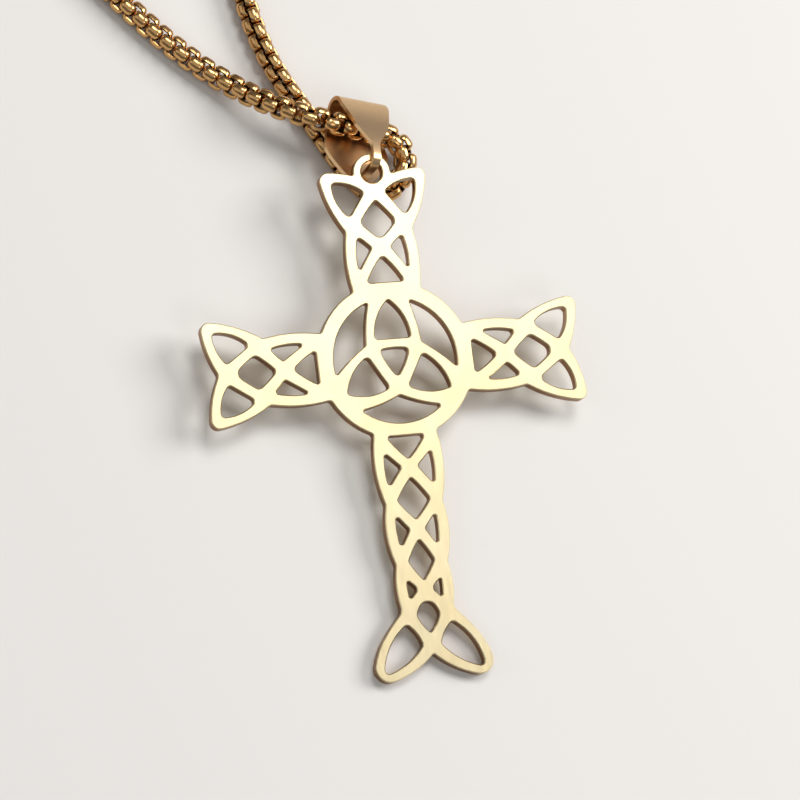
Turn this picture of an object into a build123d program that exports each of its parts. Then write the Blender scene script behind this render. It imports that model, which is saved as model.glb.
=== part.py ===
"""A pierced Celtic cross pendant on a round box chain, lying face up on a flat surface.

Lengths are millimetres, angles are degrees and +Z is up. The pendant points towards -Y and the
loop of the chain lies behind it, towards +Y. The cross is a flat plate cut through between the
strands of its knotwork. Its foot tips touch the surface, and its eye is held up by the folded
bail, which lies over the strand of chain that runs back from it. The chain is a plain tube of
its real thickness and length, joined at the back by a barrel clasp.

While the pieces are made, x and y are measured from the middle of the eye's wall, where the
bail's tongue goes round it. At the end everything moves to an origin on the surface, under the
middle of the whole necklace.
"""
from build123d import *
import os
from math import asin, degrees, hypot, pi, radians, tan

os.makedirs("parts", exist_ok=True)

# Plate of the cross
plate_thick = 1.5
face_chamfer = 0.12     # bright broken edge round both faces and every window
ring_r = 9.44           # outside of the ring
knot_r = 7.57           # inside of the ring, filled by the three-cornered knot
arm_reach = 13.6        # from the ring's outside to the lobe tips of the three short arms
arm_half = 6.5          # half the width across a side arm's lobes
top_half = 6.7          # half the width across the top arm's lobes
arms_drop = 0.21        # the side arms sit this far below the ring's centre
foot_reach = 28.8       # from the ring's outside to the foot's toes
foot_half = 7.45        # half the width across the toes
arm_fillet = 0.45       # where an arm leaves the ring
lug_r = 2.25            # rounded lug on the top arm
eye_r = 1.35            # hole in the lug
lug_inset = 0.2         # from the lobe tips down to the lug's centre
lug_fillet = 0.3
eye_height = 5.67       # middle of the eye's wall above the surface

# Folded bail, one strip of sheet
bail_sheet = 0.5
bail_reach = 6.8        # from the eye's wall to the middle of the fold
bail_sink = 0.35        # middle of the fold below the middle of the plate
front_spread = 16       # the front leaf leaves the fold this much wider than square
back_spread = 10
bail_half = 3.3         # half the width of the fold
back_half = 4.4         # half the width of the back leaf at its corners
back_reach = 9.75       # from the middle of the fold to the tip of the back leaf
back_sink = 2.18        # tip of the back leaf below the middle of the fold
tongue_half = 0.5       # half the width of the tongue through the eye
tongue_gap = 0.45       # between the tongue and the eye's wall
neck_gap = 0.55         # between the plate's face and the neck of the front leaf
neck_in = 0.45          # the front leaf turns down this far past the middle of the eye's wall
neck_fillet = 1.5       # where the front leaf runs into its tongue
bail_side = 0.15        # the bail sits this far to the right of the plate's axis
bail_turn = -7.7        # about the vertical
bail_lean = 16          # fold lower than the eye
bail_roll = 20          # left end of the fold higher than the right

# Chain and clasp
chain_d = 3.0
clasp_d = 4.4
clasp_long = 13.0
clasp_chamfer = 0.5
clasp_seam = 0.15       # depth of the seam where the two halves of the barrel screw together
seam_wide = 0.35
socket_deep = 2.0
socket_gap = 0.1        # round and behind the end of the chain
clasp_lead = 8.0        # straight chain outside each end of the clasp
clasp_at = (-10.5, 249.5)
clasp_turn = -5

arc_share = 0.45        # of the shorter run, which the arc at a point of the chain takes up
near = 0.01             # corners this close to a line or circle are on it

# Corners of one half of each outline: share of the reach, share of the half width, rounding as a
# share of the half width, and how far the edge to the next corner bulges, also as that share.
# A half starts on its axis. Where it ends off the axis, the last bulge is the edge that crosses it.
arm_outline = [
    (0.890, 0.000, 0.123, 0.069),
    (1.004, 0.995, 0.154, 0.077),
    (0.464, 0.611, 0.092, 0.062),
    (-0.084, 0.608, 0.000, 0.000),
]
foot_outline = [
    (0.888, 0.000, 0.027, 0.101),
    (1.000, 1.000, 0.228, 0.047),
    (0.824, 0.805, 0.537, 0.013),
    (0.708, 0.423, 0.134, 0.043),
    (0.518, 0.423, 0.107, 0.071),
    (0.268, 0.467, 0.107, 0.081),
    (-0.040, 0.503, 0.000, 0.000),
]
side_arm_base = [(0.226, 0.000, 0.069, 0.023), (0.008, 0.322, 0.046, 0.000)]
top_arm_base = [(0.240, 0.000, 0.069, 0.023), (-0.002, 0.352, 0.046, 0.000)]
side_arm_middle = [(0.747, 0.000, 0.138, 0.012), (0.549, 0.320, 0.108, 0.012), (0.376, 0.000, 0.077, 0.012)]
top_arm_middle = [(0.737, 0.000, 0.046, 0.012), (0.541, 0.330, 0.108, 0.012), (0.382, 0.000, 0.138, 0.012)]
foot_middles = [
    [(0.086, 0.000, 0.054, 0.016), (-0.013, 0.322, 0.040, 0.000)],
    [(0.336, 0.000, 0.034, 0.013), (0.254, 0.268, 0.047, 0.013), (0.161, 0.000, 0.034, 0.013)],
    [(0.588, 0.000, 0.034, 0.011), (0.506, 0.211, 0.047, 0.011), (0.416, 0.000, 0.034, 0.011)],
    [(0.803, 0.000, 0.034, 0.020), (0.727, 0.189, 0.107, 0.020), (0.654, 0.000, 0.148, 0.020)],
]
knot_petal = [(0.971, 0.000, 0.040, 0.077), (0.343, 0.296, 0.059, 0.000)]
lower_crescent = [(0.552, 0.000, 0.046, -0.026), (0.757, 0.654, 0.026, 0.243)]
upper_crescent = [(0.522, 0.000, 0.046, -0.020), (0.757, 0.654, 0.026, 0.243)]
knot_middle = [(0.272, 0.000, 0.059, 0.026), (-0.174, 0.238, 0.059, 0.024)]

front_leaf = [
    (0.040, 0.000, 0.000, 0.000),
    (0.490, 0.676, 0.000, 0.000),
    (1.000, 1.000, 0.300, 0.000),
    (1.400, 1.000, 0.000, 0.000),
]
back_leaf = [(0.000, 0.000, 0.070, 0.095), (0.540, 1.000, 0.200, 0.000)]

# Windows beside the axis, all corners of one, in the same columns. Each has a mirrored twin.
arm_sides = [
    [(0.907, 0.768, 0.077, 0.065), (0.808, 0.188, 0.062, 0.000), (0.588, 0.507, 0.077, 0.082)],
    [(0.416, 0.408, 0.046, 0.008), (0.310, 0.172, 0.046, 0.000), (0.104, 0.454, 0.031, 0.038)],
]
foot_sides = [
    [(0.053, 0.382, 0.034, 0.000), (0.117, 0.130, 0.054, 0.000), (0.199, 0.374, 0.040, 0.027)],
    [(0.311, 0.329, 0.034, 0.000), (0.376, 0.122, 0.054, 0.000), (0.453, 0.307, 0.040, 0.020)],
    [(0.581, 0.283, 0.027, 0.013), (0.624, 0.120, 0.067, 0.000), (0.666, 0.271, 0.034, 0.007)],
    [(0.761, 0.375, 0.067, 0.034), (0.850, 0.150, 0.054, 0.074), (0.959, 0.826, 0.067, 0.101)],
]

# The chain's chosen points, from the left end of the clasp round through the bail and back:
# x, y, and the height above where the chain lies on the surface, in thicknesses of the chain.
chain_route = [
    (-45, 236, 0.0),
    (-63, 207, 0.0),
    (-70, 164, 0.0),
    (-67, 122, 0.0),
    (-58, 84, 0.0),
    (-46, 54, 0.0),
    (-33.5, 32, 0.0),
    (-24.2, 20.4, 0.0),
    (-18.8, 15.0, 0.0),
    (-14.4, 11.4, 0.12),
    (-10.6, 8.0, 0.93),
    (-7.3, 6.1, 1.32),
    (-4.5, 5.1, 1.39),
    (-1.5, 4.58, 1.03),
    (1.6, 4.08, 0.72),
    (4.2, 3.58, 0.44),
    (5.8, 1.8, 0.26),
    (5.5, -0.7, 0.11),
    (3.9, -2.8, 0.02),
    (1.45, -3.35, 0.0),
    (-0.8, -1.8, 0.0),
    (-3.2, 2.55, 0.0),
    (-5.7, 7.55, 0.0),
    (-8.4, 12.4, 0.0),
    (-10.3, 17.6, 0.0),
    (-11.6, 25.0, 0.0),
    (-11.2, 36.0, 0.0),
    (-4.5, 56, 0.0),
    (9, 86, 0.0),
    (24, 120, 0.0),
    (33, 158, 0.0),
    (33, 198, 0.0),
    (20, 232, 0.0),
]


def whole(half):
    """Corners of a closed outline from those of one half: the others are mirrored in the axis."""
    before = [0.0] + [bulge for _, _, _, bulge in half[:-1]]
    twins = [(along, -across, rounding, bulge) for (along, across, rounding, _), bulge in zip(half, before)]
    return half + [twin for twin in reversed(twins) if twin[1] < 0]


def mirrored(corners):
    """The same window on the other side of the axis."""
    return [(along, -across, rounding, bulge) for along, across, rounding, bulge in corners]


def flat_shape(corners, start, reach, half):
    """A face from table corners, its edges straight or bulged outwards and its corners rounded."""
    points = [Vector(start + along * reach, across * half) for along, across, _, _ in corners]
    following = points[1:] + points[:1]
    area = sum(p.X * q.Y - q.X * p.Y for p, q in zip(points, following))
    outwards = Vector(0, 0, 1) if area > 0 else Vector(0, 0, -1)
    with BuildSketch(mode=Mode.PRIVATE) as shape:
        with BuildLine():
            for point, after, (_, _, _, bulge) in zip(points, following, corners):
                if bulge:
                    side = (after - point).normalized().cross(outwards)
                    ThreePointArc(point, (point + after) / 2 + side * bulge * half, after)
                else:
                    Line(point, after)
        make_face()
        for point, (_, _, rounding, _) in zip(points, corners):
            if rounding:
                fillet(shape.vertices().sort_by_distance(point)[0], rounding * half)
    return shape.sketch


def corners_at(sketch, centre_y, radius):
    """Sharp corners of a sketch that lie on a circle about a point of the plate's axis."""
    return [v for v in sketch.vertices() if abs(hypot(v.X, v.Y - centre_y) - radius) < near]


# The plate lies on its toes and on whatever holds its eye up, so its tilt follows from both.
lug_y = ring_r + arm_reach - lug_inset
wall_y = lug_y + (eye_r + lug_r) / 2
toes_y = -(ring_r + foot_reach)
plate_tilt = degrees(asin((eye_height - plate_thick / 2) / (wall_y - toes_y)))
wall_plane = Plane((0, 0, eye_height)).rotated((plate_tilt, 0, 0))
ring_centre = wall_plane.from_local_coords(Vector(0, -wall_y, -plate_thick / 2))
plate_plane = Plane(ring_centre, x_dir=wall_plane.x_dir, z_dir=wall_plane.z_dir)
side_arms = [0, 180]
top_arm = 90
foot = -90

with BuildPart() as cross_plate:
    with BuildSketch(plate_plane) as plate_face:
        side_shape = flat_shape(whole(arm_outline), ring_r, arm_reach, arm_half)
        top_shape = flat_shape(whole(arm_outline), ring_r, arm_reach, top_half)
        Circle(ring_r)
        with Locations((0, -arms_drop)):
            for angle in side_arms:
                add(side_shape, rotation=angle)
        add(top_shape, rotation=top_arm)
        add(flat_shape(whole(foot_outline), ring_r, foot_reach, foot_half), rotation=foot)
        with Locations((0, lug_y)):
            Circle(lug_r)
        fillet(corners_at(plate_face, 0, ring_r), arm_fillet)
        fillet(corners_at(plate_face, lug_y, lug_r), lug_fillet)

        with Locations((0, lug_y)):
            Circle(eye_r, mode=Mode.SUBTRACT)
        side_windows = [whole(side_arm_base), whole(side_arm_middle)]
        top_windows = [whole(top_arm_base), whole(top_arm_middle)]
        for corners in arm_sides:
            side_windows += [corners, mirrored(corners)]
            top_windows += [corners, mirrored(corners)]
        with Locations((0, -arms_drop)):
            for angle in side_arms:
                for corners in side_windows:
                    window = flat_shape(corners, ring_r, arm_reach, arm_half)
                    add(window, rotation=angle, mode=Mode.SUBTRACT)
        for corners in top_windows:
            window = flat_shape(corners, ring_r, arm_reach, top_half)
            add(window, rotation=top_arm, mode=Mode.SUBTRACT)
        foot_windows = [whole(half) for half in foot_middles]
        for corners in foot_sides:
            foot_windows += [corners, mirrored(corners)]
        for corners in foot_windows:
            window = flat_shape(corners, ring_r, foot_reach, foot_half)
            add(window, rotation=foot, mode=Mode.SUBTRACT)
        petal = flat_shape(whole(knot_petal), 0, knot_r, knot_r)
        for angle, crescent in [(0, lower_crescent), (120, upper_crescent), (240, upper_crescent)]:
            add(petal, rotation=top_arm + angle, mode=Mode.SUBTRACT)
            crescent_face = flat_shape(whole(crescent), 0, knot_r, knot_r)
            add(crescent_face, rotation=foot + angle, mode=Mode.SUBTRACT)
        add(flat_shape(whole(knot_middle), 0, knot_r, knot_r), rotation=foot, mode=Mode.SUBTRACT)
    extrude(amount=plate_thick)
    broad_faces = cross_plate.faces().filter_by(plate_plane)
    chamfer(broad_faces.edges(), face_chamfer)

# The bail's own frame: x along the crease, y from the eye towards the fold, z up through the leaf.
bail_plane = Plane((bail_side, 0, eye_height)).rotated((0, 0, bail_turn)).rotated((-bail_lean, 0, 0))
bail_plane = bail_plane.rotated((0, bail_roll, 0))
side_view = Plane(bail_plane.origin, x_dir=bail_plane.y_dir, z_dir=bail_plane.x_dir)

# The middle of the sheet, seen along the crease. The two leaves swell round the chain.
fold_r = chain_d / 2
fold = Vector(bail_reach, -bail_sink)
front_way = Vector(-1, 0).rotate(Axis.Z, -front_spread)
back_way = Vector(-1, 0).rotate(Axis.Z, back_spread)
front_touch = fold + front_way.rotate(Axis.Z, -90) * fold_r
back_touch = fold + back_way.rotate(Axis.Z, 90) * fold_r
tongue_y = -((lug_r - eye_r) / 2 + tongue_gap + bail_sheet)
neck = Vector(-neck_in, plate_thick / 2 + neck_gap + bail_sheet / 2)
back_tip = fold - Vector(back_reach, back_sink)

with BuildPart() as front_strip:
    with BuildSketch(side_view):
        with BuildLine():
            ThreePointArc(back_touch, fold + Vector(fold_r, 0), front_touch)
            leaf_line = TangentArc(front_touch, neck, tangent=front_way)
            neck_way = leaf_line % 1
            bend = neck_way * ((tongue_y - neck.X) / neck_way.X)
            tongue_top = neck + bend - Vector(0, bend.length)
            TangentArc(neck, tongue_top, tangent=neck_way)
            Line(tongue_top, (tongue_y, back_tip.Y))
        trace(line_width=bail_sheet)
    extrude(amount=2 * bail_half, both=True)
    with BuildSketch(bail_plane) as front_view:
        add(flat_shape(whole(front_leaf), 0, bail_reach, bail_half), rotation=90)
        Rectangle(2 * tongue_half, bail_reach)
        tongue_sides = [v for v in front_view.vertices() if abs(abs(v.X) - tongue_half) < near]
        leaf_roots = [v for v in tongue_sides if v.Y > 0]
        fillet(leaf_roots, neck_fillet)
    extrude(amount=bail_reach, both=True, mode=Mode.INTERSECT)

with BuildPart() as back_strip:
    with BuildSketch(side_view):
        with BuildLine():
            TangentArc(back_touch, back_tip, tangent=back_way)
        trace(line_width=bail_sheet)
    extrude(amount=2 * back_half, both=True)
    back_corners = back_leaf + [(1.0, bail_half / back_half, 0.0, 0.0)]
    with BuildSketch(bail_plane):
        leaf_face = flat_shape(whole(back_corners), back_tip.X, back_touch.X - back_tip.X, back_half)
        add(leaf_face, rotation=90)
    extrude(amount=bail_reach, both=True, mode=Mode.INTERSECT)

with BuildPart() as bail:
    add(front_strip.part)
    add(back_strip.part)

clasp_plane = Plane((*clasp_at, clasp_d / 2)).rotated((0, 0, clasp_turn))
end_x = clasp_long / 2
seat_x = end_x - socket_deep
with BuildPart() as clasp:
    with BuildSketch(clasp_plane):
        with BuildLine():
            Polyline(
                (0, 0),
                (seat_x, 0),
                (seat_x, chain_d / 2 + socket_gap),
                (end_x, chain_d / 2 + socket_gap),
                (end_x, clasp_d / 2 - clasp_chamfer),
                (end_x - clasp_chamfer, clasp_d / 2),
                (seam_wide / 2, clasp_d / 2),
                (seam_wide / 2, clasp_d / 2 - clasp_seam),
                (0, clasp_d / 2 - clasp_seam),
                close=True,
            )
        make_face()
        mirror(about=Plane.YZ)
    revolve(axis=Axis(clasp_plane.origin, clasp_plane.x_dir))

ends = [clasp_plane.from_local_coords(Vector(x, 0)) for x in (-seat_x - socket_gap, -end_x - clasp_lead)]
starts = [clasp_plane.from_local_coords(Vector(x, 0)) for x in (end_x + clasp_lead, seat_x + socket_gap)]
middle = [Vector(x, y, chain_d * (0.5 + lift)) for x, y, lift in chain_route]
points = ends + middle + starts
runs = [after - point for point, after in zip(points, points[1:])]
turns = [run.get_angle(following) for run, following in zip(runs, runs[1:])]
radii = [
    arc_share * min(run.length, following.length) / tan(radians(turn) / 2)
    for run, following, turn in zip(runs, runs[1:], turns)
]
with BuildPart() as chain:
    with BuildLine():
        chain_line = FilletPolyline(*points, radius=radii)
    with BuildSketch(Plane(chain_line @ 0, z_dir=chain_line % 0)):
        Circle(chain_d / 2)
    sweep()

path_long = chain_line.length
for run, turn, radius, point in zip(runs, turns, radii, points[1:]):
    print(f"run {run.length:5.1f} turn {turn:5.1f} radius {radius:7.2f} at {point.X:6.1f} {point.Y:6.1f} {point.Z:4.2f}")
print("last run", round(runs[-1].length, 1))
print("whole loop", round(path_long + clasp_long - 2 * (socket_deep - socket_gap), 2))
tube_section = pi * chain_d ** 2 / 4
print("tube volume over section times length", chain.part.volume / (tube_section * path_long))

pieces = {"cross_plate": cross_plate, "bail": bail, "chain": chain, "clasp": clasp}
box = Compound([piece.part for piece in pieces.values()]).bounding_box()
home = Location((-box.center().X, -box.center().Y, -box.min.Z))
print("box", box.size, "home", home)
for name, piece in pieces.items():
    placed = piece.part.moved(home)
    placed.label = name
    print(name, "volume", round(piece.part.volume, 2), "solids", len(piece.part.solids()))
    export_step(placed, f"parts/{name}.step")
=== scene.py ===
"""Looks of a pierced cross pendant on a round box chain, lying on a pale surface.

Lengths are metres unless a name ends in _mm. The cross, its bail and the clasp keep their solid
shapes and get their finishes here. The chain's links are made here, along the route of its tube.
"""

import math

import bmesh
import bpy
import numpy as np
from bpy.props import FloatProperty, FloatVectorProperty, PointerProperty, StringProperty
from bpy.types import Operator, Panel, PropertyGroup
from mathutils import Matrix, Vector


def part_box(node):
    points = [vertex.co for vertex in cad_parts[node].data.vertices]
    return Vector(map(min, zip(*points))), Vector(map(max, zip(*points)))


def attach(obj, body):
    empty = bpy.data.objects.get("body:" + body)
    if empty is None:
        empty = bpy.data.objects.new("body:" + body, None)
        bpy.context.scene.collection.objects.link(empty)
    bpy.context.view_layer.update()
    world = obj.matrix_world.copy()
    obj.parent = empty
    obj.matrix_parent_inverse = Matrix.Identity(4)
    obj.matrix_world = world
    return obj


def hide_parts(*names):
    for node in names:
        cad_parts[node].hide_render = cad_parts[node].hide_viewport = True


bl_info = {
    "name": "Cross pendant necklace",
    "version": (1, 0, 0),
    "blender": (4, 5, 0),
    "location": "3D View > Sidebar > Necklace",
    "description": "Links, finishes and studio of a gold cross pendant necklace",
    "category": "Object",
}

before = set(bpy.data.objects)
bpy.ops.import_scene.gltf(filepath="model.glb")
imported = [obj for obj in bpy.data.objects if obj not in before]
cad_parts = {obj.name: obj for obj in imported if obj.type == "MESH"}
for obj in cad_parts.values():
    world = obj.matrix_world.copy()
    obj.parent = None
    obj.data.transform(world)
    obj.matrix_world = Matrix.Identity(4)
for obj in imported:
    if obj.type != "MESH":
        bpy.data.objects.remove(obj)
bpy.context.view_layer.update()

MM = 0.001
BODY = "root"

# Middle of the wall of the cross's eye. The route's points are measured from it.
EYE = Vector((0.018031, -0.094893, 0.0))

# The chain's chosen points, from the left end of the clasp round through the bail and back:
# x and y from the eye, and the height above where the chain lies on the surface, in thicknesses.
CHAIN_ROUTE = [
    (-0.045, 0.236, 0.0),
    (-0.063, 0.207, 0.0),
    (-0.070, 0.164, 0.0),
    (-0.067, 0.122, 0.0),
    (-0.058, 0.084, 0.0),
    (-0.046, 0.054, 0.0),
    (-0.0335, 0.032, 0.0),
    (-0.0242, 0.0204, 0.0),
    (-0.0188, 0.015, 0.0),
    (-0.0144, 0.0114, 0.12),
    (-0.0106, 0.008, 0.93),
    (-0.0073, 0.0061, 1.32),
    (-0.0045, 0.0051, 1.39),
    (-0.0015, 0.00458, 1.03),
    (0.0016, 0.00408, 0.72),
    (0.0042, 0.00358, 0.44),
    (0.0058, 0.0018, 0.26),
    (0.0055, -0.0007, 0.11),
    (0.0039, -0.0028, 0.02),
    (0.00145, -0.00335, 0.0),
    (-0.0008, -0.0018, 0.0),
    (-0.0032, 0.00255, 0.0),
    (-0.0057, 0.00755, 0.0),
    (-0.0084, 0.0124, 0.0),
    (-0.0103, 0.0176, 0.0),
    (-0.0116, 0.025, 0.0),
    (-0.0112, 0.036, 0.0),
    (-0.0045, 0.056, 0.0),
    (0.009, 0.086, 0.0),
    (0.024, 0.120, 0.0),
    (0.033, 0.158, 0.0),
    (0.033, 0.198, 0.0),
    (0.020, 0.232, 0.0),
]
CLASP_LEAD = 0.008       # straight chain outside each end of the clasp
CLASP_SOCKET = 0.0019    # length of chain inside each end of the clasp
CLASP_TURN = -5.0        # degrees

# Lengths of chain each way from where it enters the bail:
TAUT_REACH = 0.0045      # with the wider pitch
ROLL_REACH = 0.045       # with the roll, which then fades to the sway
FINE_REACH = 0.052       # with more faces on the links

SWAY = 7.0               # degrees that the far chain turns to and fro about its own line
SWAY_REACH = 0.031       # length of chain for each radian of the sway's wave
CHORD_SHARE = 0.36       # share of a link's length from its middle to where it meets the route

# Faces of a link: steps round its loop, and points across the round side of its wire.
FINE_STEPS, FINE_ACROSS = 28, 8
PLAIN_STEPS, PLAIN_ACROSS = 12, 3

# Section of the links' wire: where its round side ends, and how wide its flat side is.
WIRE_STEEPEST = 68.0     # degrees
FLAT_SHARE = 0.9

# Nearly all values of a noise texture lie between these.
NOISE_LOW, NOISE_HIGH = 0.3, 0.7

# Soft boxes: name, place from the middle of the picture, side of the square and tint. The
# studio's property of the same name gives the watts.
SOFT_BOXES = [
    ("key", (0.18, 0.44, 0.92), 0.4, "#FFFFFF"),
    ("fill", (-0.9, 0.2, 0.6), 0.7, "#FFFFFF"),
    ("front", (0.21, -0.5, 0.58), 0.3, "#FFFFFF"),
    ("overhead", (-0.33, -0.28, 1.12), 1.2, "#FFFFFF"),
    ("side", (0.66, 0.12, 0.52), 0.42, "#FFFFFF"),
    ("rear", (0.75, 0.7, 0.36), 0.8, "#EFE6FF"),
]


def colour(hex_code):
    """Linear colour of an sRGB hex code such as #F4D58A."""
    parts = np.array([int(hex_code[i:i + 2], 16) for i in (1, 3, 5)]) / 255
    linear = np.where(parts <= 0.04045, parts / 12.92, ((parts + 0.055) / 1.055) ** 2.4)
    return tuple(float(part) for part in linear)


class NecklaceChain(PropertyGroup):
    thickness: FloatProperty(
        name="Thickness", description="Across the chain", default=0.003, unit="LENGTH")
    pitch: FloatProperty(
        name="Pitch", description="From a link to the next", default=0.00106, unit="LENGTH")
    taut_pitch: FloatProperty(
        name="Taut pitch", description="From a link to the next where the bail spreads them",
        default=0.00132, unit="LENGTH")
    link_long: FloatProperty(
        name="Link length", description="Along the chain", default=0.00208, unit="LENGTH")
    link_wide: FloatProperty(
        name="Wire width", description="Across a link's pads", default=0.00148, unit="LENGTH")
    waist: FloatProperty(
        name="Waist", description="Share of the width lost at a link's ends", default=0.13)
    rim: FloatProperty(
        name="Rim", description="Thickness of the wire at its edges", default=0.00018,
        unit="LENGTH")
    pad_round: FloatProperty(
        name="Pad round", description="Rise of the wire's round side on the pads",
        default=0.00046, unit="LENGTH")
    end_round: FloatProperty(
        name="End round", description="Rise of the wire's round side at the ends",
        default=0.00012, unit="LENGTH")
    dome: FloatProperty(
        name="Dome", description="Fall of a pad from its middle to the link's ends",
        default=0.00017, unit="LENGTH")
    squareness: FloatProperty(
        name="Squareness", description="Exponent of a link's rounded outline", default=4.8)
    roll: FloatProperty(
        name="Roll", description="Turn of the chain about its own line by the pendant",
        default=math.radians(35), subtype="ANGLE")
    colour: StringProperty(
        name="Colour", description="Polished gold plating of the links", default="#CCA068")
    # Painted shade: dark brown given to the flat inner side of the links' wire, for the shade in
    # the chain's gaps and holes.
    recess_shade: StringProperty(
        name="Recess", description="Unpolished gold inside the links", default="#3F2410")


class NecklaceMetal(PropertyGroup):
    face: StringProperty(
        name="Face", description="Lapped faces of the cross", default="#FDECC0")
    face_clouds: StringProperty(
        name="Face clouds", description="Deeper gold in the lapped faces", default="#FBE7B6")
    # Painted shade: the deep brown gold that the cross's steep walls get in place of the face
    # colour.
    shaded_wall: StringProperty(name="Wall", description="Cut walls of the cross", default="#8E5E22")
    sheet: StringProperty(
        name="Sheet", description="Brushed sheet of the bail", default="#DEBB8E")
    sheet_lines: StringProperty(
        name="Sheet lines", description="Deeper gold in the brushed lines", default="#D9B689")
    edge: FloatProperty(
        name="Edge", description="Width of the bail's polished edges", default=0.00008,
        unit="LENGTH")
    turned: StringProperty(
        name="Turned", description="Turned barrel of the clasp", default="#DDB27C")


class NecklaceStudio(PropertyGroup):
    floor: StringProperty(name="Floor", description="Pale paper surface", default="#DCD9D4")
    key: FloatProperty(
        name="Key light", description="Soft box behind the pendant, for the bright plate",
        default=4.6, unit="POWER")
    fill: FloatProperty(
        name="Fill light", description="Soft box at the left", default=1.0, unit="POWER")
    front: FloatProperty(
        name="Front light", description="Small soft box in front, for the lower glints",
        default=0.7, unit="POWER")
    overhead: FloatProperty(
        name="Overhead light", description="Large soft box behind the camera", default=2.1,
        unit="POWER")
    side: FloatProperty(
        name="Side light", description="Soft box at the right, for the glints and the tongue",
        default=5.4, unit="POWER")
    rear: FloatProperty(
        name="Rear light", description="Dim cool soft box that the bail's front leaf mirrors",
        default=0.32, unit="POWER")
    sky: FloatProperty(
        name="Surroundings", description="Strength of the grey room", default=0.17)
    room: StringProperty(
        name="Room", description="Colour of the grey room", default="#F3F7FF")
    lens_mm: FloatProperty(
        name="Lens", description="Focal length on a 36 mm sensor", default=180.0)
    azimuth: FloatProperty(
        name="Azimuth", description="Heading of the view, from +Y towards +X",
        default=math.radians(49.49), subtype="ANGLE")
    elevation: FloatProperty(
        name="Elevation", description="Height of the camera over the surface",
        default=math.radians(68.88), subtype="ANGLE")
    lean: FloatProperty(
        name="Lean", description="Turn of the picture about the line of sight",
        default=math.radians(42.81), subtype="ANGLE")
    distance: FloatProperty(
        name="Distance", description="From the target", default=0.47122, unit="LENGTH")
    target: FloatVectorProperty(
        name="Target", description="Point in the middle of the picture",
        default=(0.01792, -0.12432, 0.004), subtype="TRANSLATION")


def add_node(tree, kind, inputs=None, **settings):
    """A node with its settings and inputs.

    The dictionary maps an input's name or number to the output socket or the value that it gets.
    """
    made = tree.nodes.new(kind)
    for name, value in settings.items():
        setattr(made, name, value)
    for name, value in (inputs or {}).items():
        socket = made.inputs[name]
        if isinstance(value, bpy.types.NodeSocket):
            tree.links.new(value, socket)
        else:
            socket.default_value = value
    return made


def new_material(name):
    """An empty node material, its tree and its output node."""
    material = bpy.data.materials.new(name)
    material.use_nodes = True
    tree = material.node_tree
    tree.nodes.clear()
    return material, tree, add_node(tree, "ShaderNodeOutputMaterial")


def finish_metal(tree, output, base, roughness, bump):
    """A metal shader with its colour, roughness and relief wired to the output."""
    shader = add_node(tree, "ShaderNodeBsdfPrincipled", {
        "Base Color": base, "Metallic": 1.0, "Roughness": roughness, "Normal": bump})
    tree.links.new(shader.outputs["BSDF"], output.inputs["Surface"])


def blend_colours(tree, share, first, second):
    """Colour between two colours, by a share."""
    mixer = add_node(tree, "ShaderNodeMix", {0: share, 6: first, 7: second}, data_type="RGBA")
    return mixer.outputs[2]


def stretch(tree, value, low, high, to_low, to_high):
    """A value carried smoothly from one range to another."""
    ranged = add_node(tree, "ShaderNodeMapRange", {
        "Value": value, "From Min": low, "From Max": high, "To Min": to_low, "To Max": to_high},
        interpolation_type="SMOOTHSTEP")
    return ranged.outputs["Result"]


def lapped_gold(metal):
    """Gold-plated brass plate, its faces lapped flat and its steep walls painted darker as shade.

    The lapped faces are bright and satin, with faint scratches from the lapping, drawn coarser
    than real ones so that they show. The walls, picked out by their steep normals, get a deep
    brown gold as painted shade.
    """
    material, tree, output = new_material("gold_plated_brass_lapped")
    place = add_node(tree, "ShaderNodeTexCoord")
    axes = add_node(tree, "ShaderNodeSeparateXYZ", {"Vector": place.outputs["Normal"]})
    steep = add_node(tree, "ShaderNodeMath", {0: axes.outputs["Z"]}, operation="ABSOLUTE")
    wall_at, face_at = 0.25, 0.65
    face = stretch(tree, steep.outputs["Value"], wall_at, face_at, 0.0, 1.0)
    scratches_per_mm = 3.5
    scratch_ends_per_mm = 0.35
    lap_turn = math.radians(38)
    along = add_node(tree, "ShaderNodeMapping", {
        "Vector": place.outputs["Object"], "Rotation": (0.0, 0.0, lap_turn),
        "Scale": (scratches_per_mm / MM, scratch_ends_per_mm / MM, scratch_ends_per_mm / MM)})
    scratches = add_node(tree, "ShaderNodeTexNoise", {
        "Vector": along.outputs["Vector"], "Scale": 1.0, "Detail": 2.0, "Roughness": 0.5})
    cloud_mm = 6.0
    clouds = add_node(tree, "ShaderNodeTexNoise", {
        "Vector": place.outputs["Object"], "Scale": 1 / (cloud_mm * MM), "Detail": 2.0})
    warm = stretch(tree, clouds.outputs["Fac"], NOISE_LOW, NOISE_HIGH, 0.0, 1.0)
    face_colour = blend_colours(
        tree, warm, (*colour(metal.face), 1.0), (*colour(metal.face_clouds), 1.0))
    # Steep walls get the painted shade colour; flat faces keep the lapped colour.
    base = blend_colours(tree, face, (*colour(metal.shaded_wall), 1.0), face_colour)
    smoothest, roughest = 0.31, 0.34
    rough = stretch(tree, scratches.outputs["Fac"], NOISE_LOW, NOISE_HIGH, smoothest, roughest)
    bump = add_node(tree, "ShaderNodeBump", {
        "Strength": 0.05, "Distance": 0.01 * MM, "Height": scratches.outputs["Fac"]})
    finish_metal(tree, output, base, rough, bump.outputs["Normal"])
    return material


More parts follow.
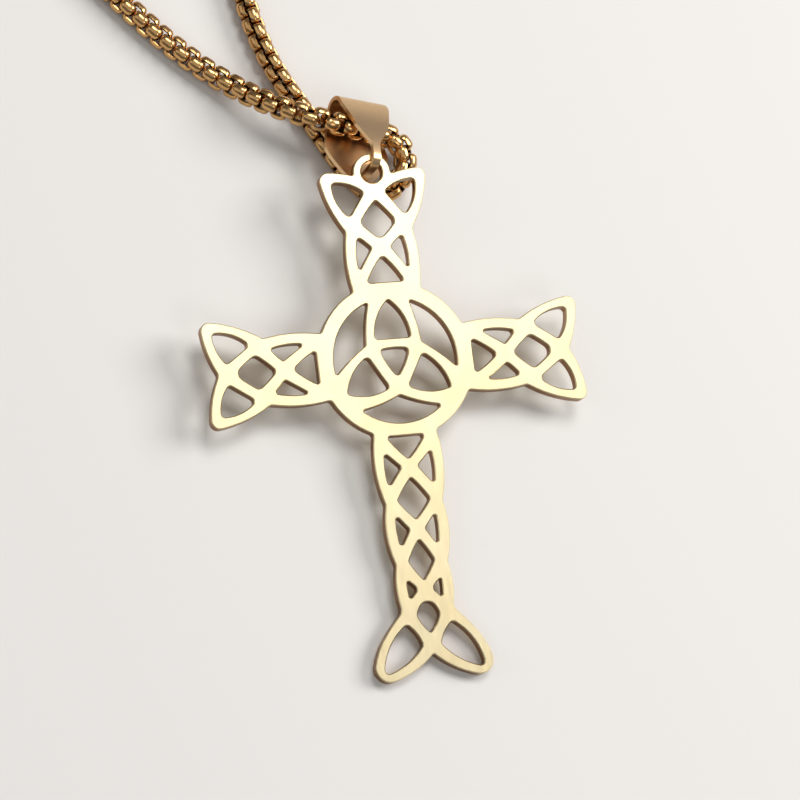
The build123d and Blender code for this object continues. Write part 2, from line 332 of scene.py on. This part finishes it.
def brushed_gold(metal):
    """Gold-plated brass sheet, brushed along the bail's crease before it was bent.

    The fine lines, drawn coarser than real ones, give the leaves a soft tan sheen.
    """
    material, tree, output = new_material("gold_plated_brass_brushed")
    place = add_node(tree, "ShaderNodeTexCoord")
    lines_per_mm = 4.0
    line_ends_per_mm = 0.15
    along = add_node(tree, "ShaderNodeMapping", {
        "Vector": place.outputs["Object"],
        "Scale": (line_ends_per_mm / MM, lines_per_mm / MM, lines_per_mm / MM)})
    lines = add_node(tree, "ShaderNodeTexNoise", {
        "Vector": along.outputs["Vector"], "Scale": 1.0, "Detail": 3.0})
    palest, deepest = 0.25, 0.75
    shade = stretch(tree, lines.outputs["Fac"], palest, deepest, 0.0, 1.0)
    base = blend_colours(
        tree, shade, (*colour(metal.sheet), 1.0), (*colour(metal.sheet_lines), 1.0))
    smoothest, roughest = 0.28, 0.31
    rough = stretch(tree, lines.outputs["Fac"], NOISE_LOW, NOISE_HIGH, smoothest, roughest)
    bump = add_node(tree, "ShaderNodeBump", {
        "Strength": 0.01, "Distance": 0.01 * MM, "Height": lines.outputs["Fac"]})
    finish_metal(tree, output, base, rough, bump.outputs["Normal"])
    return material


def tumbled_gold(chain):
    """Gold-plated brass links, tumbled bright, their flat inner sides painted dark as shade.

    The tumbling pins leave soft dents, which break up the glints. The dark brown inner sides
    are painted shade for the gaps and holes between the links.
    """
    material, tree, output = new_material("gold_plated_brass_tumbled")
    place = add_node(tree, "ShaderNodeTexCoord")
    inside = add_node(tree, "ShaderNodeAttribute", attribute_name="inside")
    dent_mm = 0.5
    dents = add_node(tree, "ShaderNodeTexNoise", {
        "Vector": place.outputs["Object"], "Scale": 1 / (dent_mm * MM), "Detail": 2.0})
    # Painted shade: points on the flat inner side get the dark recess colour instead of the
    # polished gold.
    base = blend_colours(
        tree, inside.outputs["Fac"], (*colour(chain.colour), 1.0), (*colour(chain.recess_shade), 1.0))
    smoothest, roughest = 0.19, 0.27
    rough = stretch(tree, dents.outputs["Fac"], NOISE_LOW, NOISE_HIGH, smoothest, roughest)
    bump = add_node(tree, "ShaderNodeBump", {
        "Strength": 0.12, "Distance": 0.02 * MM, "Height": dents.outputs["Fac"]})
    finish_metal(tree, output, base, rough, bump.outputs["Normal"])
    return material


def turned_gold(metal, axis_turn):
    """Gold-plated brass barrel, turned on a lathe.

    The tool leaves fine rings round it, drawn coarser than real ones, which spread the glints.
    """
    material, tree, output = new_material("gold_plated_brass_turned")
    place = add_node(tree, "ShaderNodeTexCoord")
    rings_per_mm = 10.0
    ring_ends_per_mm = 0.05
    along = add_node(tree, "ShaderNodeMapping", {
        "Vector": place.outputs["Object"], "Rotation": (0.0, 0.0, -math.radians(axis_turn)),
        "Scale": (rings_per_mm / MM, ring_ends_per_mm / MM, ring_ends_per_mm / MM)})
    rings = add_node(tree, "ShaderNodeTexNoise", {
        "Vector": along.outputs["Vector"], "Scale": 1.0, "Detail": 1.0})
    smoothest, roughest = 0.22, 0.32
    rough = stretch(tree, rings.outputs["Fac"], NOISE_LOW, NOISE_HIGH, smoothest, roughest)
    bump = add_node(tree, "ShaderNodeBump", {
        "Strength": 0.2, "Distance": 0.01 * MM, "Height": rings.outputs["Fac"]})
    finish_metal(tree, output, (*colour(metal.turned), 1.0), rough, bump.outputs["Normal"])
    return material


def route_points(thickness):
    """The route's control points in the frame, with the straight ends inside the clasp."""
    low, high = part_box("clasp")
    centre = (low + high) / 2
    axis = Vector((math.cos(math.radians(CLASP_TURN)), math.sin(math.radians(CLASP_TURN)), 0.0))
    across = Vector((-axis.y, axis.x, 0.0))
    clasp_wide = high.z - low.z
    half = ((high.x - low.x) - clasp_wide * abs(across.x)) / axis.x / 2
    rise = Vector((0.0, 0.0, thickness / 2))
    base = Vector((centre.x, centre.y, clasp_wide / 2))
    middle = [EYE + Vector((x, y, lift * thickness)) + rise for x, y, lift in CHAIN_ROUTE]
    seat = half - CLASP_SOCKET
    lead = half + CLASP_LEAD
    return [base - axis * seat, base - axis * lead, *middle, base + axis * lead, base + axis * seat]


def smooth_line(points, steps=24):
    """Vertices of the smooth NURBS line with these control points, as an array."""
    curve = bpy.data.curves.new("chain_line", "CURVE")
    curve.dimensions = "3D"
    spline = curve.splines.new("NURBS")
    spline.points.add(len(points) - 1)
    spline.points.foreach_set("co", np.array([(*point, 1.0) for point in points]).ravel())
    spline.order_u = 3
    spline.use_endpoint_u = True
    spline.resolution_u = steps
    holder = bpy.data.objects.new("chain_line", curve)
    mesh = bpy.data.meshes.new_from_object(holder)
    line = np.empty(len(mesh.vertices) * 3)
    mesh.vertices.foreach_get("co", line)
    bpy.data.objects.remove(holder)
    bpy.data.curves.remove(curve)
    bpy.data.meshes.remove(mesh)
    return line.reshape(-1, 3)


def distances_along(line):
    """Distance of each vertex of a line from its start, along it."""
    steps = np.linalg.norm(np.diff(line, axis=0), axis=1)
    return np.concatenate([[0.0], np.cumsum(steps)])


def at_distances(line, far, wanted):
    """Points of a line at the wanted distances from its start."""
    return np.stack([np.interp(wanted, far, line[:, axis]) for axis in range(3)], axis=-1)


def bail_distance(line, far):
    """Distance along a line to its highest point, where the chain enters the bail."""
    return far[np.argmax(line[:, 2])]


def link_places(line, far, chain):
    """Distances of the links' middles. Their spacing grows to the taut pitch at the bail."""
    fine = np.linspace(0.0, far[-1], 8000)
    spread = np.exp(-((fine - bail_distance(line, far)) / TAUT_REACH) ** 2)
    density = 1 / (chain.pitch + (chain.taut_pitch - chain.pitch) * spread)
    count = np.concatenate([[0.0], np.cumsum((density[1:] + density[:-1]) / 2 * np.diff(fine))])
    half_link = chain.link_long / 2
    first = np.interp(half_link, fine, count)
    last = np.interp(far[-1] - half_link, fine, count)
    number = int(round(last - first))
    return np.interp(np.linspace(first, last, number + 1), count, fine)


def link_frames(line, far, places, chain):
    """Middle and three axes of each link, as arrays: along it, out through its face, and across.

    A stiff link is a chord of the line. Its face is turned from the vertical by the roll, which
    fades to a slight sway away from the pendant, and every second link by a quarter turn more.
    """
    reach = chain.link_long * CHORD_SHARE
    ahead = at_distances(line, far, places + reach)
    behind = at_distances(line, far, places - reach)
    middle = (ahead + behind) / 2
    along = ahead - behind
    along /= np.linalg.norm(along, axis=1, keepdims=True)
    up = np.array([0.0, 0.0, 1.0]) - along * along[:, 2:3]
    up /= np.linalg.norm(up, axis=1, keepdims=True)
    side = np.cross(along, up)
    from_bail = places - bail_distance(line, far)
    fade = np.exp(-(from_bail / ROLL_REACH) ** 2)
    sway = math.radians(SWAY) * np.sin(from_bail / SWAY_REACH)
    turn = chain.roll * fade + sway * (1 - fade) + math.pi / 2 * (np.arange(len(places)) % 2)
    cosine, sine = np.cos(turn)[:, None], np.sin(turn)[:, None]
    return middle, along, up * cosine + side * sine, side * cosine - up * sine


def wire_section(across_points):
    """Section of half-round wire, round outside and flat inside, with its points in order.

    Columns: share of half the width, share of the round side's rise that is lost there, and
    whether the point is on the flat inner side. The round side is an arc of an ellipse.
    """
    steepest = math.radians(WIRE_STEEPEST)
    angle = np.linspace(-steepest, steepest, across_points)
    share = np.sin(angle) / math.sin(steepest)
    fall = (1 - np.cos(angle)) / (1 - math.cos(steepest))
    outer = np.column_stack([share, fall, np.zeros(across_points)])
    inner = [(FLAT_SHARE, 1.0, 1.0), (-FLAT_SHARE, 1.0, 1.0)]
    return np.concatenate([outer, inner])


def link_shape(across_points, steps, chain):
    """Grid of a link about its middle: (steps round the loop, points of the section, 3 axes).

    The loop is a superellipse in the plane of the first two axes. The wire's round side falls away
    from it by the section's rise, its flat side by the rim too, and a pad also falls from its
    middle to the ends by the dome times the square of the run. The wire narrows the same way, to
    the waist. Also gives 1 for each point on the flat side and 0 for the others.
    """
    share, fall, inner = wire_section(across_points).T
    radius = chain.thickness / 2
    turn = (np.arange(steps) + 0.5) * 2 * math.pi / steps
    power = 2 / chain.squareness
    run = (np.sign(np.cos(turn)) * np.abs(np.cos(turn)) ** power)[:, None]
    rise = (np.sign(np.sin(turn)) * np.abs(np.sin(turn)) ** power)[:, None]
    grid = np.empty((steps, len(share), 3))
    grid[..., 0] = run * (chain.link_long / 2 - fall * chain.end_round - inner * chain.rim)
    grid[..., 1] = rise * (
        radius - chain.dome * run ** 2 - fall * chain.pad_round - inner * chain.rim)
    grid[..., 2] = share * chain.link_wide / 2 * (1 - chain.waist * run ** 2)
    return grid, np.broadcast_to(inner, (steps, len(share)))


def ring_faces(steps, points):
    """Quads of a closed ring of closed sections, wound to face outwards."""
    i, j = np.meshgrid(np.arange(steps), np.arange(points), indexing="ij")
    after_i, after_j = (i + 1) % steps, (j + 1) % points
    corners = [
        i * points + j, after_i * points + j, after_i * points + after_j, i * points + after_j]
    return np.stack(corners, axis=-1).reshape(-1, 4)


def mesh_from(name, vertices, quads):
    """A mesh object from whole arrays of vertices and quads, smooth between sharp edges."""
    sharp_from = math.radians(48)
    mesh = bpy.data.meshes.new(name)
    mesh.vertices.add(len(vertices))
    mesh.vertices.foreach_set("co", vertices.astype(np.float32).ravel())
    mesh.loops.add(quads.size)
    mesh.loops.foreach_set("vertex_index", quads.astype(np.int32).ravel())
    mesh.polygons.add(len(quads))
    mesh.polygons.foreach_set("loop_start", np.arange(0, quads.size, 4, dtype=np.int32))
    mesh.update(calc_edges=True)
    mesh.validate()
    mesh.shade_smooth()
    mesh.set_sharp_from_angle(angle=sharp_from)
    made = bpy.data.objects.new(name, mesh)
    bpy.context.scene.collection.objects.link(made)
    return made


def joined_links(kinds):
    """Vertices, quads and inner marks of all links. A kind is a shape with its links' frames."""
    all_vertices, all_quads, all_inner = [], [], []
    start = 0
    for (grid, inner), (middle, along, out, across) in kinds:
        steps, points = inner.shape
        flat = grid.reshape(-1, 3)
        axes = np.stack([along, out, across], axis=1)
        vertices = middle[:, None, :] + flat @ axes
        quads = ring_faces(steps, points)
        shifts = start + np.arange(len(middle)) * len(flat)
        all_vertices.append(vertices.reshape(-1, 3))
        all_quads.append((quads[None] + shifts[:, None, None]).reshape(-1, 4))
        all_inner.append(np.tile(inner.ravel(), len(middle)))
        start += len(middle) * len(flat)
    return np.concatenate(all_vertices), np.concatenate(all_quads), np.concatenate(all_inner)


def merged_copy(node, name):
    """A copy of a solid's mesh with its corners merged and its flat faces whole."""
    same_corner = 0.001 * MM
    flat_within = math.radians(0.5)
    sharp_from = math.radians(40)
    shape = bmesh.new()
    shape.from_mesh(node.data)
    bmesh.ops.remove_doubles(shape, verts=shape.verts, dist=same_corner)
    bmesh.ops.dissolve_limit(
        shape, angle_limit=flat_within, verts=shape.verts, edges=shape.edges)
    mesh = bpy.data.meshes.new(name)
    shape.to_mesh(mesh)
    shape.free()
    mesh.shade_smooth()
    mesh.set_sharp_from_angle(angle=sharp_from)
    made = bpy.data.objects.new(name, mesh)
    bpy.context.scene.collection.objects.link(made)
    return made


def set_material(node, material):
    """Give a solid's node one material in all its slots."""
    if not node.data.materials:
        node.data.materials.append(material)
    for slot in node.material_slots:
        slot.link = "OBJECT"
        slot.material = material


class NECKLACE_OT_links(Operator):
    """Make the round box chain's links along the chain's route"""
    bl_idname = "necklace.links"
    bl_label = "Chain links"

    def execute(self, context):
        chain = context.scene.necklace_chain
        line = smooth_line(route_points(chain.thickness))
        far = distances_along(line)
        places = link_places(line, far, chain)
        frames = link_frames(line, far, places, chain)
        near = np.abs(places - bail_distance(line, far)) < FINE_REACH
        fine = link_shape(FINE_ACROSS, FINE_STEPS, chain)
        plain = link_shape(PLAIN_ACROSS, PLAIN_STEPS, chain)
        vertices, quads, inner = joined_links([
            (fine, [part[near] for part in frames]),
            (plain, [part[~near] for part in frames])])
        links = mesh_from("chain_links", vertices, quads)
        # Marks the flat inner side of the wire, which the chain's material paints with shade.
        inside = links.data.attributes.new("inside", "FLOAT", "POINT")
        inside.data.foreach_set("value", inner.astype(np.float32))
        links.data.materials.append(tumbled_gold(chain))
        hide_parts("chain")
        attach(links, BODY)
        return {"FINISHED"}


class NECKLACE_OT_cross(Operator):
    """Finish the cross with lapped gold"""
    bl_idname = "necklace.cross"
    bl_label = "Cross"

    def execute(self, context):
        set_material(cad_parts["cross_plate"], lapped_gold(context.scene.necklace_metal))
        return {"FINISHED"}


class NECKLACE_OT_bail(Operator):
    """Make the folded bail with polished edges and brushed leaves"""
    bl_idname = "necklace.bail"
    bl_label = "Bail"

    def execute(self, context):
        metal = context.scene.necklace_metal
        bail = merged_copy(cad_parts["bail"], "bail_sheet")
        edge = bail.modifiers.new("polished_edges", "BEVEL")
        edge.width = metal.edge
        edge.segments = 3
        edge.limit_method = "ANGLE"
        edge.angle_limit = math.radians(50)
        edge.harden_normals = True
        bail.data.materials.clear()
        bail.data.materials.append(brushed_gold(metal))
        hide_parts("bail")
        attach(bail, BODY)
        return {"FINISHED"}


class NECKLACE_OT_clasp(Operator):
    """Finish the barrel clasp with turned gold"""
    bl_idname = "necklace.clasp"
    bl_label = "Clasp"

    def execute(self, context):
        set_material(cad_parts["clasp"], turned_gold(context.scene.necklace_metal, CLASP_TURN))
        return {"FINISHED"}


def soft_box(name, place, target, size, watts, tint):
    """A square area light at a place, turned to its target."""
    lamp = bpy.data.lights.new(name, "AREA")
    lamp.shape = "SQUARE"
    lamp.size = size
    lamp.energy = watts
    lamp.color = colour(tint)
    made = bpy.data.objects.new(name, lamp)
    made.location = place
    made.rotation_euler = (target - place).to_track_quat("-Z", "Y").to_euler()
    bpy.context.scene.collection.objects.link(made)


class NECKLACE_OT_stage(Operator):
    """Set up the pale floor, the soft boxes, the grey room and the camera"""
    bl_idname = "necklace.stage"
    bl_label = "Stage"

    def execute(self, context):
        studio = context.scene.necklace_studio
        self.floor(studio)
        self.lights(context, studio)
        self.camera(context, studio)
        return {"FINISHED"}

    def floor(self, studio):
        half = 3.0
        sunk = 0.01 * MM         # so that no piece shares a face with it
        corners = np.array([(-half, -half), (half, -half), (half, half), (-half, half)])
        vertices = np.column_stack([corners, np.full(4, -sunk)])
        floor = mesh_from("floor", vertices, np.array([[0, 1, 2, 3]]))
        material, tree, output = new_material("matt_paper")
        grain_mm = 0.4
        place = add_node(tree, "ShaderNodeTexCoord")
        grain = add_node(tree, "ShaderNodeTexNoise", {
            "Vector": place.outputs["Object"], "Scale": 1 / (grain_mm * MM), "Detail": 2.0})
        bump = add_node(tree, "ShaderNodeBump", {
            "Strength": 0.05, "Distance": 0.05 * MM, "Height": grain.outputs["Fac"]})
        shader = add_node(tree, "ShaderNodeBsdfPrincipled", {
            "Base Color": (*colour(studio.floor), 1.0), "Roughness": 0.8,
            "Specular IOR Level": 0.2, "Normal": bump.outputs["Normal"]})
        tree.links.new(shader.outputs["BSDF"], output.inputs["Surface"])
        floor.data.materials.append(material)

    def lights(self, context, studio):
        target = Vector(studio.target)
        for name, place, size, tint in SOFT_BOXES:
            soft_box(name, target + Vector(place), target, size, getattr(studio, name), tint)
        world = bpy.data.worlds.new("grey_room")
        world.use_nodes = True
        background = world.node_tree.nodes["Background"]
        background.inputs["Color"].default_value = (*colour(studio.room), 1.0)
        background.inputs["Strength"].default_value = studio.sky
        context.scene.world = world
        context.scene.view_settings.view_transform = "Standard"

    def camera(self, context, studio):
        lens = bpy.data.cameras.new("camera")
        lens.lens = studio.lens_mm
        lens.sensor_width = 36.0
        lens.clip_start = 0.01
        camera = bpy.data.objects.new("camera", lens)
        flat = math.cos(studio.elevation)
        sight = Vector((
            flat * math.sin(studio.azimuth), flat * math.cos(studio.azimuth),
            -math.sin(studio.elevation)))
        place = Vector(studio.target) - sight * studio.distance
        level = sight.to_track_quat("-Z", "Y").to_matrix().to_4x4()
        turned = level @ Matrix.Rotation(studio.lean, 4, "Z")
        camera.matrix_world = Matrix.Translation(place) @ turned
        context.scene.collection.objects.link(camera)
        context.scene.camera = camera


class NECKLACE_PT_panel(Panel):
    """Sizes, colours and steps of the necklace"""
    bl_idname = "NECKLACE_PT_panel"
    bl_label = "Necklace"
    bl_space_type = "VIEW_3D"
    bl_region_type = "UI"
    bl_category = "Necklace"

    def draw(self, context):
        for name, kind in GROUPS.items():
            for prop in kind.__annotations__:
                self.layout.prop(getattr(context.scene, name), prop)
        for operator in OPERATORS:
            self.layout.operator(operator.bl_idname)


GROUPS = {
    "necklace_chain": NecklaceChain,
    "necklace_metal": NecklaceMetal,
    "necklace_studio": NecklaceStudio,
}
OPERATORS = (
    NECKLACE_OT_stage,
    NECKLACE_OT_links,
    NECKLACE_OT_cross,
    NECKLACE_OT_bail,
    NECKLACE_OT_clasp,
)


def register():
    for group in GROUPS.values():
        bpy.utils.register_class(group)
    for operator in OPERATORS:
        bpy.utils.register_class(operator)
    bpy.utils.register_class(NECKLACE_PT_panel)
    for name, group in GROUPS.items():
        setattr(bpy.types.Scene, name, PointerProperty(type=group))


def unregister():
    for name in GROUPS:
        delattr(bpy.types.Scene, name)
    bpy.utils.unregister_class(NECKLACE_PT_panel)
    for kind in (*OPERATORS, *GROUPS.values()):
        bpy.utils.unregister_class(kind)


def main():
    register()
    bpy.ops.necklace.stage()
    bpy.ops.necklace.links()
    bpy.ops.necklace.cross()
    bpy.ops.necklace.bail()
    bpy.ops.necklace.clasp()


if __name__ == "__main__":
    main()
